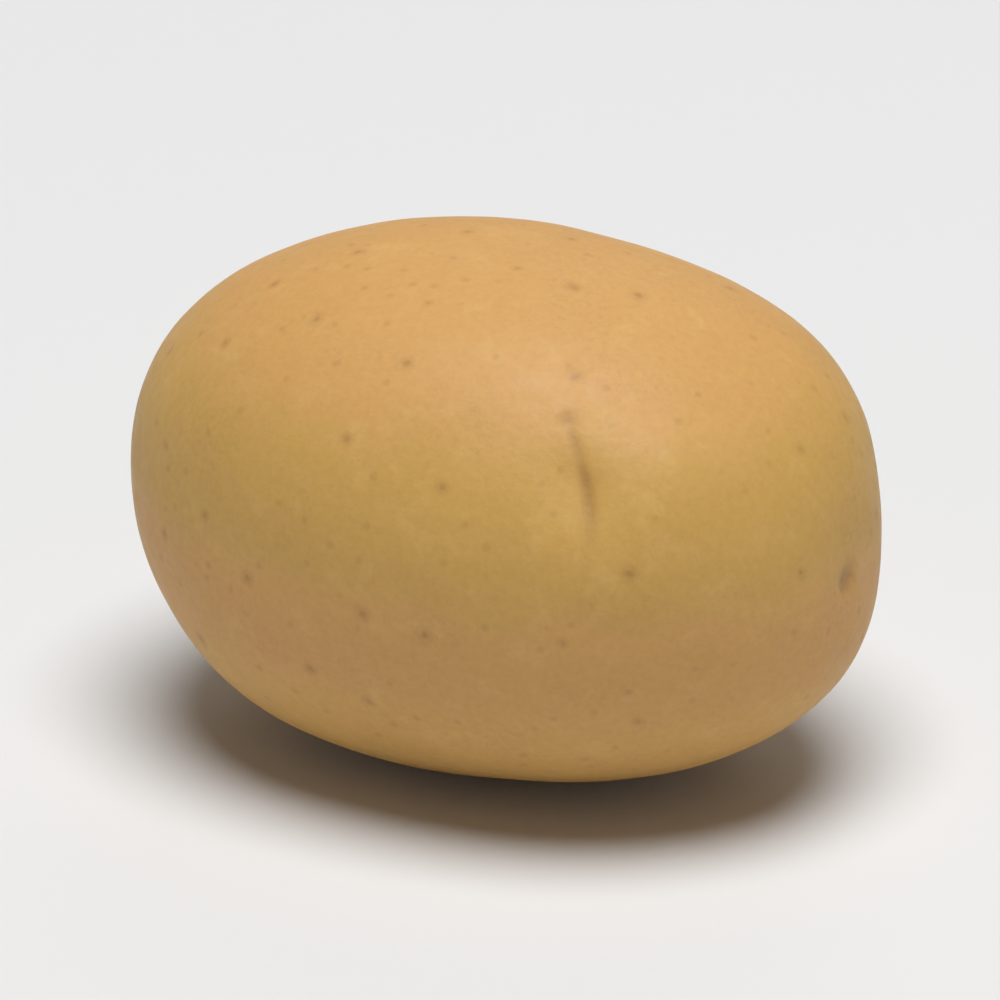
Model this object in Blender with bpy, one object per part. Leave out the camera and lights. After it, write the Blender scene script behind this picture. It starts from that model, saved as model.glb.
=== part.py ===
"""A potato tuber lying at rest, as one closed solid.

Units are metres and +Z is up. The long axis lies along X, with the heel, where the stolon held
the tuber, at +X and the rose end, where the eyes crowd together, at -X. The origin is the middle
of the bottom of the tuber's box.

The body starts as a cube of square facets blown up into a slightly boxy ellipsoid. Lobes swell
or hollow it, each eye presses a shallow hollow into it, and the underside is flat where the tuber
rests.
"""

from math import exp, pi, tan
from typing import NamedTuple

import bmesh
import bpy
from mathutils import Vector

# Driving dimensions.
LENGTH = 0.082
WIDTH = 0.061
THICKNESS = 0.057
BOXINESS = 2.2  # 2 is a plain ellipsoid, and a larger exponent has blunter ends and flatter flanks
FLAT_SPOT_DEPTH = 0.0003  # how much of the round underside the flat resting spot takes away

FACETS = 26  # along each edge of the cube that the body is blown up from

EYE_DEPTH = 0.0006
EYE_SPREAD = 0.11  # in radians, as seen from the middle

SKIN_COLOUR = (0.552, 0.342, 0.133, 1.0)
SKIN_ROUGHNESS = 0.55


class Lobe(NamedTuple):
    """A swelling, or with a negative height a hollow, centred on a direction from the middle."""

    toward: Vector
    height: float
    spread: float  # in radians, where the lobe has fallen to 1/e of its height


FRONT_EYE = Vector((0.66, -0.62, 0.42))

LOBES = (
    Lobe(Vector((0.72, 0.54, 0.44)), 0.0020, 0.50),  # full shoulder at the heel, above and behind
    Lobe(Vector((0.93, 0.07, -0.35)), 0.0018, 0.40),  # blunt underside of the heel
    Lobe(Vector((-0.94, -0.10, 0.33)), 0.0009, 0.40),  # full top of the rose end
    Lobe(Vector((-0.85, -0.45, -0.30)), -0.0008, 0.40),  # tucked in below the rose end, in front
    Lobe(Vector((0.38, -0.36, -0.85)), -0.0009, 0.40),  # flatter underside in front
    Lobe(Vector((-0.60, 0.80, -0.10)), -0.0006, 0.50),  # flatter flank behind the rose end
    Lobe(Vector((-0.15, 0.45, 0.88)), 0.0006, 0.50),  # low hump along the back
    Lobe(FRONT_EYE, -0.0005, 0.24),  # the flank sinks a little round its one large eye
    Lobe(Vector((1.00, 0.03, -0.02)), -0.0006, 0.12),  # dimple of the stolon's scar
)

# Directions of the eyes from the middle. They wind round the tuber from the heel and crowd
# together at the rose end.
EYES = (
    FRONT_EYE,
    Vector((0.50, 0.84, 0.20)),
    Vector((0.35, 0.25, -0.90)),
    Vector((-0.15, 0.62, 0.77)),
    Vector((-0.45, -0.25, -0.86)),
    Vector((-0.42, 0.88, -0.15)),
    Vector((-0.86, 0.30, 0.41)),
    Vector((-0.88, -0.30, -0.36)),
    Vector((-0.97, 0.10, -0.20)),
)


def clear_scene():
    for thing in list(bpy.data.objects):
        bpy.data.objects.remove(thing)


def bump(direction, centre, spread):
    """1 at the centre's direction, falling smoothly to nothing away from it."""
    angle = direction.angle(centre)
    return exp(-((angle / spread) ** 2))


def body_radius(direction):
    """Distance from the middle to the skin in a direction, before the flat spot is pressed in."""
    stretch = (
        abs(direction.x / (LENGTH / 2)) ** BOXINESS
        + abs(direction.y / (WIDTH / 2)) ** BOXINESS
        + abs(direction.z / (THICKNESS / 2)) ** BOXINESS
    )
    radius = stretch ** (-1 / BOXINESS)
    radius += sum(lobe.height * bump(direction, lobe.toward, lobe.spread) for lobe in LOBES)
    radius -= sum(EYE_DEPTH * bump(direction, eye, EYE_SPREAD) for eye in EYES)
    return radius


def even_direction(corner):
    """The direction of a point on the cube of side 2, spread so that the facets come out even."""
    return Vector([tan(pi / 4 * value) for value in corner]).normalized()


def blow_up(mesh):
    """Moves the cube's points out to the tuber's skin."""
    for vertex in mesh.verts:
        direction = even_direction(vertex.co)
        vertex.co = direction * body_radius(direction)


def press_flat_spot(mesh):
    """Flattens the underside at the height where the flat spot is cut."""
    floor = min(vertex.co.z for vertex in mesh.verts) + FLAT_SPOT_DEPTH
    for vertex in mesh.verts:
        vertex.co.z = max(vertex.co.z, floor)


def stand_on_origin(mesh):
    """Moves the middle of the bottom of the mesh's box to the origin."""
    low = Vector([min(vertex.co[axis] for vertex in mesh.verts) for axis in range(3)])
    high = Vector([max(vertex.co[axis] for vertex in mesh.verts) for axis in range(3)])
    foot = Vector(((low.x + high.x) / 2, (low.y + high.y) / 2, low.z))
    bmesh.ops.translate(mesh, verts=mesh.verts, vec=-foot)


def potato_mesh():
    mesh = bmesh.new()
    bmesh.ops.create_cube(mesh, size=2)
    bmesh.ops.subdivide_edges(mesh, edges=mesh.edges, cuts=FACETS - 1, use_grid_fill=True)
    blow_up(mesh)
    press_flat_spot(mesh)
    stand_on_origin(mesh)
    bmesh.ops.recalc_face_normals(mesh, faces=mesh.faces)
    data = bpy.data.meshes.new("potato")
    mesh.to_mesh(data)
    mesh.free()
    data.shade_smooth()
    return data


def skin_material():
    material = bpy.data.materials.new("potato_skin")
    material.use_nodes = True
    shader = material.node_tree.nodes["Principled BSDF"]
    shader.inputs["Base Color"].default_value = SKIN_COLOUR
    shader.inputs["Roughness"].default_value = SKIN_ROUGHNESS
    shader.inputs["Metallic"].default_value = 0.0
    material.diffuse_color = SKIN_COLOUR
    return material


def make_potato():
    potato = bpy.data.objects.new("potato", potato_mesh())
    potato.data.materials.append(skin_material())
    bpy.context.scene.collection.objects.link(potato)


clear_scene()
make_potato()
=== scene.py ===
"""The looks of a potato tuber lying at rest.

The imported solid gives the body. A fine skin is wrapped on it, then pressed and swollen into eyes,
the stolon's scar, lenticels and the skin's own unevenness. Units are metres and +Z is up. The long
axis lies along X, with the heel at +X and the rose end at -X.
"""

from math import cos, pi, radians, sin, tan
from random import Random
from typing import NamedTuple

import bmesh
import bpy
import numpy as np
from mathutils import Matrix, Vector, noise
from mathutils.bvhtree import BVHTree


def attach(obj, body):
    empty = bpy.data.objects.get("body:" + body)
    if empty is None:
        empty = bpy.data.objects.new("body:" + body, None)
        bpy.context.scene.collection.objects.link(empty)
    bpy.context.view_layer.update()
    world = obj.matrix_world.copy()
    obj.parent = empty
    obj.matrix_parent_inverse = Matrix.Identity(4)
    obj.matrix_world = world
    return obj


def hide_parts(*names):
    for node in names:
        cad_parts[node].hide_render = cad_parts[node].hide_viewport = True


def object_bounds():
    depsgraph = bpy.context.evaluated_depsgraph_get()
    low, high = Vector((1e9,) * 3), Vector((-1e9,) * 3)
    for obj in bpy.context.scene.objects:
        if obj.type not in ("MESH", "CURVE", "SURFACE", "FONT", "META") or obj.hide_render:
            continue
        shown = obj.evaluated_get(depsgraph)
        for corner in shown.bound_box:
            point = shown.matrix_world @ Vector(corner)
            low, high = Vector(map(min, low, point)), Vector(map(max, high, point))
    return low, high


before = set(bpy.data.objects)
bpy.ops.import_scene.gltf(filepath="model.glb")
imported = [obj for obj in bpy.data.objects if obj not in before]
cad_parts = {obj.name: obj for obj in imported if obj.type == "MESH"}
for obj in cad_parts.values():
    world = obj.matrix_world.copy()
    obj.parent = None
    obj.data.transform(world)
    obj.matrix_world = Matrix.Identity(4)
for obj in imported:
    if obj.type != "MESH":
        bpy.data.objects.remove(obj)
CAD_LOW, CAD_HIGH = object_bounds()

MM = 0.001
BODY = "root"
NODE = "potato"

# The skin's mesh.
FACETS = 128  # along each edge of the cube that the skin is blown up from
BODY_SMOOTHING = 2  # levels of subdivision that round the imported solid's facets
LENGTHWAYS = Vector((-1, 0, 0))  # from the heel towards the rose end

# Camera: it looks at the tuber's middle from its front right, a little from above.
CAMERA_AZIMUTH = 30
CAMERA_ELEVATION = 23
CAMERA_LENS = 400
CAMERA_SENSOR = 36
FRAME_WIDTH = 106 * MM  # how much the picture spans at the tuber's middle
AIM = Vector((0.0, 0.0, 28.5 * MM))

# Stage.
FLOOR_RADIUS = 2.2
BOWL_RADIUS = 4.0
BOWL_HEIGHT = 2.0
STAGE_COLOUR = (0.74, 0.74, 0.74, 1.0)
WORLD_COLOUR = (1.0, 1.0, 1.0, 1.0)
WORLD_STRENGTH = 0.06


class Eye(NamedTuple):
    """An eye: its direction from the middle, and its brow in millimetres.

    The brow runs round the tuber's girth. It leans and bends as u = lean * v + bend * v * v,
    where v is measured up the girth and u towards the rose end.
    """

    toward: Vector
    reach: float  # half the brow's length
    depth: float
    lean: float
    bend: float


EYES = (
    Eye(Vector((0.50, 0.84, 0.20)), 5.0, 0.55, 0.20, 0.07),
    Eye(Vector((0.35, 0.25, -0.90)), 4.2, 0.35, -0.15, 0.08),
    Eye(Vector((-0.15, 0.62, 0.77)), 4.8, 0.45, 0.10, 0.06),
    Eye(Vector((-0.45, -0.25, -0.86)), 4.0, 0.30, 0.25, 0.08),
    Eye(Vector((-0.42, 0.88, -0.15)), 4.8, 0.55, -0.10, 0.08),
    Eye(Vector((-0.86, 0.30, 0.41)), 3.6, 0.50, 0.15, 0.12),
    Eye(Vector((-0.88, -0.30, -0.36)), 3.4, 0.45, -0.20, 0.12),
    Eye(Vector((-0.97, 0.10, -0.20)), 3.0, 0.45, 0.10, 0.14),
)

FRONT_EYE = Vector((0.66, -0.62, 0.38))

STOLON_SCAR = Vector((1.00, 0.03, -0.02))


# Lenticels, the small brown breathing spots, are scattered evenly over the whole skin.
LENTICEL_SEED = 7
LENTICEL_COUNT = 70
LENTICEL_SPACING = 7.0 * MM
SMALLEST_LENTICEL = 0.35  # radius in millimetres
LARGEST_LENTICEL = 0.65

# Bands of colour lie round the tuber. Heights are parts of its thickness.
# The warm band at the crown is a painted sheen; the warm band low on the flanks is painted shade.
PAINTED_SHEEN_HEIGHT = 1.0
PAINTED_SHEEN_SPREAD = 0.20
PAINTED_SHADE_HEIGHT = 0.40
PAINTED_SHADE_SPREAD = 0.12
# The olive band is a cast of colour.
OLIVE_BAND_HEIGHT = 0.65
OLIVE_BAND_SPREAD = 0.14


class Lenticel(NamedTuple):
    toward: Vector
    radius: float  # in millimetres


# ---------------------------------------------------------------- the skin's mesh


def body_surface():
    """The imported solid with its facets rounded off, ready to be hit by rays."""
    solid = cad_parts[NODE].copy()
    solid.data = solid.data.copy()
    bpy.context.scene.collection.objects.link(solid)
    mesh = bmesh.new()
    mesh.from_mesh(solid.data)
    bmesh.ops.remove_doubles(mesh, verts=mesh.verts, dist=0.01 * MM)
    bmesh.ops.join_triangles(mesh, faces=mesh.faces, angle_face_threshold=pi, angle_shape_threshold=pi)
    mesh.to_mesh(solid.data)
    mesh.free()
    rounding = solid.modifiers.new("rounding", "SUBSURF")
    rounding.levels = BODY_SMOOTHING
    rounding.render_levels = BODY_SMOOTHING
    graph = bpy.context.evaluated_depsgraph_get()
    surface = BVHTree.FromObject(solid, graph)
    bpy.data.objects.remove(solid)
    return surface


def blown_up_cube():
    """A mesh of square facets on the unit sphere, spread so that they come out even."""
    mesh = bmesh.new()
    bmesh.ops.create_cube(mesh, size=2)
    bmesh.ops.subdivide_edges(mesh, edges=mesh.edges, cuts=FACETS - 1, use_grid_fill=True)
    bmesh.ops.recalc_face_normals(mesh, faces=mesh.faces)
    for vertex in mesh.verts:
        vertex.co = Vector([tan(pi / 4 * value) for value in vertex.co]).normalized()
    data = bpy.data.meshes.new("potato_skin")
    mesh.to_mesh(data)
    mesh.free()
    return data


def points_of(data):
    points = np.empty(len(data.vertices) * 3)
    data.vertices.foreach_get("co", points)
    return points.reshape(-1, 3)


def put_points(data, points):
    data.vertices.foreach_set("co", points.ravel())
    data.update()


def normals_of(data):
    normals = np.empty(len(data.vertices) * 3)
    data.vertices.foreach_get("normal", normals)
    return normals.reshape(-1, 3)


def wrap(data, surface):
    """Moves each point of the unit sphere out to the body's surface."""
    directions = points_of(data)
    middle = (CAD_LOW + CAD_HIGH) / 2
    points = [surface.ray_cast(middle, Vector(direction))[0] for direction in directions]
    put_points(data, np.array(points))


def on_surface(surface, toward):
    """The point of the surface in a direction from the middle, and its normal."""
    middle = (CAD_LOW + CAD_HIGH) / 2
    point, normal, _, _ = surface.ray_cast(middle, toward.normalized())
    return point, normal


def bell(distance, width):
    """1 at no distance, falling smoothly to nothing."""
    return np.exp(-((distance / width) ** 2))


class Patch:
    """Places near a point of the skin, in millimetres: u towards the rose end, v up the girth."""

    def __init__(self, surface, points, toward):
        centre, normal = on_surface(surface, toward)
        along = (LENGTHWAYS - normal * LENGTHWAYS.dot(normal)).normalized()
        round_girth = along.cross(normal)
        offset = (points - np.array(centre)) / MM
        self.u = offset @ np.array(along)
        self.v = offset @ np.array(round_girth)
        self.away = np.linalg.norm(offset, axis=1)


def press_eye(eye, patch):
    """Height in millimetres and darkness of one eye: a brow, the groove under it and its buds."""
    across = patch.u - eye.lean * patch.v - eye.bend * patch.v**2
    near = bell(patch.away, 1.6 * eye.reach)
    brow_fade = bell(patch.v, 0.72 * eye.reach)
    ridge = 0.35 * eye.depth * bell(across + 2.2, 1.9) * brow_fade
    groove = 0.60 * eye.depth * bell(across, 0.75) * brow_fade
    slope = 0.60 * eye.depth * np.where(across > 0, bell(across, 3.0), bell(across, 1.3)) * brow_fade
    bud = 0.34 * eye.depth * bell(np.hypot(across - 1.6, patch.v), 0.8)
    bud += 0.20 * eye.depth * bell(np.hypot(across - 2.3, patch.v - 1.3), 0.7)
    bud += 0.18 * eye.depth * bell(np.hypot(across - 2.1, patch.v + 1.4), 0.7)
    dark = 0.85 * bell(across - 0.1, 0.65) * brow_fade
    return (ridge + bud - groove - slope) * near, dark * near


def press_front_eye(patch):
    """Height in millimetres and darkness of the one large eye, a leaf scar grown into a long crease.

    The crease runs down the flank from a small pit, past a knee where it is deepest, and fades out.
    The skin is full beside it towards the heel, and sinks a little beside it towards the rose end.
    """
    line = 0.47 * patch.v + 0.024 * patch.v**2
    across = patch.u - line
    near = bell(patch.away, 14.0)
    upper = 0.60 * bell(patch.v - 5.2, 2.4)
    lower = np.where(patch.v > 1.0, bell(patch.v - 1.0, 2.4), bell(patch.v - 1.0, 5.4))
    groove = 0.32 * bell(across, 0.80) * np.maximum(upper, lower)
    hollow = 0.26 * np.where(across > 0, bell(across, 4.5), bell(across, 2.2)) * lower
    full_side = 0.90 * bell(np.hypot(patch.u + 9.0, patch.v - 6.5), 7.0)
    pit_away = np.hypot(patch.u - 4.5, patch.v - 7.3)
    pit = 0.26 * bell(pit_away, 1.1)
    # The skin is drawn darker along the crease and in the pit.
    darker_along_crease = np.maximum(0.80 * bell(patch.v - 5.0, 2.6), 1.1 * lower)
    dark = np.maximum(darker_along_crease * bell(across, 0.75), bell(pit_away, 1.0))
    return (full_side - groove - hollow - pit) * near, dark * near


def press_scar(patch):
    """Height in millimetres and corkiness of the scar that the stolon left at the heel."""
    rim = 0.14 * bell(patch.away - 2.3, 0.9)
    pit = 0.55 * bell(patch.away, 1.7)
    stub = 0.25 * bell(patch.away, 0.7)
    return rim - pit + stub, bell(patch.away, 1.6)


def lenticels():
    """Lenticels of random sizes, none closer to another than the spacing."""
    random = Random(LENTICEL_SEED)
    half_size = (CAD_HIGH - CAD_LOW) / 2
    found = []
    places = []
    while len(found) < LENTICEL_COUNT:
        toward = Vector([random.gauss(0, 1) for _ in range(3)]).normalized()
        radius = random.uniform(SMALLEST_LENTICEL, LARGEST_LENTICEL)
        place = toward * half_size
        if all((place - other).length > LENTICEL_SPACING for other in places):
            found.append(Lenticel(toward, radius))
            places.append(place)
    return found


def lenticel_field(surface, points):
    """For each point, the distance to the nearest lenticel in that lenticel's radii."""
    nearest = np.full(len(points), 9.0)
    for one in lenticels():
        centre, _ = on_surface(surface, one.toward)
        away = np.linalg.norm(points - np.array(centre), axis=1) / (one.radius * MM)
        nearest = np.minimum(nearest, away)
    return nearest


def height_band(points, height, spread):
    """1 at a height, given as a part of the tuber's thickness, falling smoothly to nothing."""
    part = (points[:, 2] - CAD_LOW.z) / (CAD_HIGH.z - CAD_LOW.z)
    return bell(part - height, spread)


def unevenness(points):
    """Height in millimetres of the skin's slow swells and small lumps."""
    swell = np.array([noise.noise(Vector(point) * 45) for point in points])
    lump = np.array([noise.noise(Vector(point) * 130 + Vector((7, 3, 5))) for point in points])
    grain = np.array([noise.noise(Vector(point) * 420 + Vector((1, 9, 4))) for point in points])
    return 0.50 * swell + 0.10 * lump + 0.015 * grain


def add_mask(data, name, values):
    mask = data.attributes.new(name, "FLOAT", "POINT")
    mask.data.foreach_set("value", values.astype(np.float32))


def make_skin():
    surface = body_surface()
    data = blown_up_cube()
    wrap(data, surface)
    points = points_of(data)
    normals = normals_of(data)

    height = unevenness(points)
    dark = np.zeros(len(points))
    for eye in EYES:
        lift, eye_dark = press_eye(eye, Patch(surface, points, eye.toward))
        height += lift
        dark = np.maximum(dark, eye_dark)
    lift, eye_dark = press_front_eye(Patch(surface, points, FRONT_EYE))
    height += lift
    dark = np.maximum(dark, eye_dark)
    lift, cork = press_scar(Patch(surface, points, STOLON_SCAR))
    height += lift
    spots = lenticel_field(surface, points)
    height -= 0.035 * bell(spots, 1.1)

    # The warm band at the crown is a painted sheen and the warm band low on the flanks is painted shade.
    painted_sheen = height_band(points, PAINTED_SHEEN_HEIGHT, PAINTED_SHEEN_SPREAD)
    painted_shade = height_band(points, PAINTED_SHADE_HEIGHT, PAINTED_SHADE_SPREAD)
    warm_tone_and_painted_light = np.maximum(painted_sheen, painted_shade)
    olive = height_band(points, OLIVE_BAND_HEIGHT, OLIVE_BAND_SPREAD)

    points += normals * height[:, None] * MM
    points[:, 2] = np.maximum(points[:, 2], CAD_LOW.z)
    put_points(data, points)
    add_mask(data, "crease", dark)
    add_mask(data, "cork", cork)
    add_mask(data, "lenticel", spots)
    # The warm mask holds the painted sheen and painted shade bands.
    add_mask(data, "warm_tone_and_painted_light", warm_tone_and_painted_light)
    add_mask(data, "olive", olive)
    data.shade_smooth()
    skin = bpy.data.objects.new("potato_skin", data)
    bpy.context.scene.collection.objects.link(skin)
    return skin


# ---------------------------------------------------------------- materials


class Shading:
    """A material's node tree, with short calls for the nodes that the skin uses."""

    def __init__(self, name):
        self.material = bpy.data.materials.new(name)
        self.material.use_nodes = True
        self.nodes = self.material.node_tree.nodes
        self.links = self.material.node_tree.links
        self.shader = self.nodes["Principled BSDF"]

    def node(self, kind, settings=(), inputs=()):
        made = self.nodes.new(kind)
        for key, value in dict(settings).items():
            setattr(made, key, value)
        for key, value in dict(inputs).items():
            self.feed(made.inputs[key], value)
        return made

    def feed(self, socket, value):
        if isinstance(value, bpy.types.NodeSocket):
            self.links.new(value, socket)
        else:
            socket.default_value = value

    def place(self):
        """The place on the tuber, in millimetres."""
        where = self.node("ShaderNodeTexCoord").outputs["Object"]
        scaled = self.node("ShaderNodeVectorMath", {"operation": "SCALE"}, {0: where, "Scale": 1 / MM})
        return scaled.outputs[0]

    def noise(self, where, size, detail=2.0, roughness=0.5, offset=0.0):
        """Noise from 0 to 1 whose blobs are about size millimetres across."""
        moved = self.node("ShaderNodeVectorMath", {"operation": "ADD"}, {0: where, 1: (offset, offset, offset)})
        texture = self.node(
            "ShaderNodeTexNoise",
            {},
            {"Vector": moved.outputs[0], "Scale": 1 / size, "Detail": detail, "Roughness": roughness},
        )
        return texture.outputs[0]

    def nearest_seed(self, where, size):
        """Distance to the nearest of many points scattered about size millimetres apart, in that size."""
        texture = self.node("ShaderNodeTexVoronoi", {"feature": "F1"}, {"Vector": where, "Scale": 1 / size})
        return texture.outputs["Distance"]

    def ramp(self, value, low, high, to_low=0.0, to_high=1.0):
        """The value stretched from low..high to to_low..to_high, and held there outside."""
        made = self.node(
            "ShaderNodeMapRange",
            {"clamp": True, "interpolation_type": "SMOOTHSTEP"},
            {"Value": value, "From Min": low, "From Max": high, "To Min": to_low, "To Max": to_high},
        )
        return made.outputs[0]

    def maths(self, operation, first, second):
        made = self.node("ShaderNodeMath", {"operation": operation}, {0: first, 1: second})
        return made.outputs[0]

    def mix(self, amount, first, second, blend="MIX"):
        made = self.node("ShaderNodeMix", {"data_type": "RGBA", "blend_type": blend})
        self.feed(made.inputs[0], amount)
        self.feed(made.inputs[6], first)
        self.feed(made.inputs[7], second)
        return made.outputs[2]

    def mask(self, name):
        return self.node("ShaderNodeAttribute", {"attribute_name": name}).outputs["Fac"]


OCHRE = (0.620, 0.360, 0.110, 1.0)
# Warm: random warm patches of skin, and the painted sheen and painted shade of the warm bands.
WARM_TONE_AND_PAINTED_LIGHT = (0.645, 0.345, 0.120, 1.0)
OLIVE = (0.578, 0.350, 0.092, 1.0)
PALE = (0.680, 0.420, 0.145, 1.0)
RUSSET = (0.430, 0.230, 0.085, 1.0)
LENTICEL_BROWN = (0.330, 0.165, 0.050, 1.0)
CREASE_BROWN = (0.355, 0.185, 0.055, 1.0)
CORK_BROWN = (0.300, 0.160, 0.055, 1.0)


def skin_material():
    made = Shading("potato_skin")
    where = made.place()

    # Warm colour in random patches, and as painted sheen at the crown and painted shade low on the flanks.
    drift = made.maths("MULTIPLY", made.noise(where, 6, 3, 0.55, 3), 0.9)
    warm_tone_and_painted_light = made.ramp(made.maths("ADD", made.mask("warm_tone_and_painted_light"), drift), 0.62, 1.25, 0.0, 0.60)
    colour = made.mix(warm_tone_and_painted_light, OCHRE, WARM_TONE_AND_PAINTED_LIGHT)
    drift = made.maths("MULTIPLY", made.noise(where, 7, 3, 0.55, 11), 0.9)
    olive = made.ramp(made.maths("ADD", made.mask("olive"), drift), 0.62, 1.25, 0.0, 0.80)
    colour = made.mix(olive, colour, OLIVE)
    pale = made.ramp(made.noise(where, 4.5, 4, 0.6, 23), 0.52, 0.75, 0.0, 0.5)
    colour = made.mix(pale, colour, PALE)

    flecks = made.ramp(made.noise(where, 0.9, 3, 0.6, 31), 0.35, 0.70, 0.0, 0.10)
    colour = made.mix(flecks, colour, LENTICEL_BROWN)
    scuffed = made.ramp(made.noise(where, 11, 2, 0.5, 37), 0.45, 0.68)
    netting = made.ramp(made.noise(where, 0.55, 4, 0.65, 43), 0.48, 0.66, 0.04, 0.24)
    colour = made.mix(made.maths("MULTIPLY", scuffed, netting), colour, RUSSET)
    specks = made.ramp(made.nearest_seed(where, 3.3), 0.21, 0.05, 0.0, 0.22)
    colour = made.mix(specks, colour, LENTICEL_BROWN)

    ragged = made.noise(where, 0.8, 3, 0.6, 41)
    spot = made.maths("ADD", made.mask("lenticel"), made.maths("MULTIPLY", ragged, 1.4))
    blot = made.ramp(spot, 3.2, 1.1, 0.0, 0.26)
    colour = made.mix(blot, colour, LENTICEL_BROWN)
    core = made.ramp(spot, 1.7, 0.8, 0.0, 0.42)
    colour = made.mix(core, colour, LENTICEL_BROWN)

    crease = made.maths("MULTIPLY", made.mask("crease"), made.ramp(ragged, 0.2, 0.8, 0.52, 0.82))
    colour = made.mix(crease, colour, CREASE_BROWN)
    cork = made.maths("MULTIPLY", made.mask("cork"), made.ramp(ragged, 0.2, 0.8, 0.35, 0.75))
    colour = made.mix(cork, colour, CORK_BROWN)

    made.feed(made.shader.inputs["Base Color"], colour)
    roughness = made.ramp(made.noise(where, 2.2, 3, 0.6, 53), 0.3, 0.7, 0.46, 0.58)
    made.feed(made.shader.inputs["Roughness"], roughness)
    made.feed(made.shader.inputs["Specular IOR Level"], 0.28)
    made.feed(made.shader.inputs["Subsurface Weight"], 0.12)
    made.feed(made.shader.inputs["Subsurface Radius"], (1.0, 0.45, 0.18))
    made.feed(made.shader.inputs["Subsurface Scale"], 1.2 * MM)

    fine = made.noise(where, 0.45, 3, 0.6, 61)
    coarse = made.noise(where, 1.4, 2, 0.5, 67)
    relief = made.maths("ADD", made.maths("MULTIPLY", fine, 0.35), made.maths("MULTIPLY", coarse, 0.65))
    bump = made.node(
        "ShaderNodeBump",
        {},
        {"Height": relief, "Distance": 0.10 * MM, "Strength": 0.8},
    )
    made.feed(made.shader.inputs["Normal"], bump.outputs[0])
    return made.material


def stage_material():
    made = Shading("stage")
    made.feed(made.shader.inputs["Base Color"], STAGE_COLOUR)
    made.feed(made.shader.inputs["Roughness"], 0.9)
    made.feed(made.shader.inputs["Specular IOR Level"], 0.1)
    return made.material


# ---------------------------------------------------------------- stage, lights and camera


def make_stage():
    """A level floor that curves up all round, so that no edge shows behind the tuber."""
    mesh = bmesh.new()
    steps = 24
    profile = [Vector((0.0, 0.0, 0.0)), Vector((FLOOR_RADIUS, 0.0, 0.0))]
    for step in range(1, steps + 1):
        turn = step / steps * pi / 2
        out = FLOOR_RADIUS + (BOWL_RADIUS - FLOOR_RADIUS) * sin(turn)
        profile.append(Vector((out, 0.0, BOWL_HEIGHT * (1 - cos(turn)))))
    points = [mesh.verts.new(point) for point in profile]
    edges = [mesh.edges.new(pair) for pair in zip(points, points[1:])]
    bmesh.ops.spin(
        mesh, geom=points + edges, cent=(0, 0, 0), axis=(0, 0, 1), angle=2 * pi, steps=96, use_merge=True
    )
    bmesh.ops.remove_doubles(mesh, verts=mesh.verts, dist=0.1 * MM)
    bmesh.ops.recalc_face_normals(mesh, faces=mesh.faces)
    data = bpy.data.meshes.new("stage")
    mesh.to_mesh(data)
    mesh.free()
    data.shade_smooth()
    data.materials.append(stage_material())
    stage = bpy.data.objects.new("stage", data)
    bpy.context.scene.collection.objects.link(stage)


def from_middle(azimuth, elevation, distance):
    """A place seen from the tuber's middle: azimuth 0 is in front, at -Y, and 90 is at +X."""
    turn = radians(azimuth)
    rise = radians(elevation)
    toward = Vector((sin(turn) * cos(rise), -cos(turn) * cos(rise), sin(rise)))
    return AIM + toward * distance


def look_at_middle(thing):
    thing.rotation_euler = (AIM - thing.location).to_track_quat("-Z", "Y").to_euler()


def add_area_light(name, azimuth, elevation, distance, size, power, colour=(1, 1, 1)):
    data = bpy.data.lights.new(name, "AREA")
    data.shape = "DISK"
    data.size = size
    data.energy = power
    data.color = colour
    light = bpy.data.objects.new(name, data)
    light.location = from_middle(azimuth, elevation, distance)
    look_at_middle(light)
    bpy.context.scene.collection.objects.link(light)


def make_lights():
    add_area_light("key", 44, 80, 2.6, 1.8, 77.0)
    add_area_light("back_fill", 200, 40, 1.6, 0.9, 1.8)
    world = bpy.data.worlds.new("studio")
    world.use_nodes = True
    background = world.node_tree.nodes["Background"]
    background.inputs["Color"].default_value = WORLD_COLOUR
    background.inputs["Strength"].default_value = WORLD_STRENGTH
    bpy.context.scene.world = world


def make_camera():
    data = bpy.data.cameras.new("camera")
    data.lens = CAMERA_LENS
    data.sensor_width = CAMERA_SENSOR
    data.clip_start = 0.01
    data.clip_end = 20
    camera = bpy.data.objects.new("camera", data)
    distance = FRAME_WIDTH * CAMERA_LENS / CAMERA_SENSOR
    camera.location = from_middle(CAMERA_AZIMUTH, CAMERA_ELEVATION, distance)
    look_at_middle(camera)
    bpy.context.scene.collection.objects.link(camera)
    bpy.context.scene.camera = camera


make_camera()
make_stage()
make_lights()
bpy.context.scene.view_settings.view_transform = "Standard"

skin = make_skin()
skin.data.materials.append(skin_material())
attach(skin, BODY)
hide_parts(NODE)
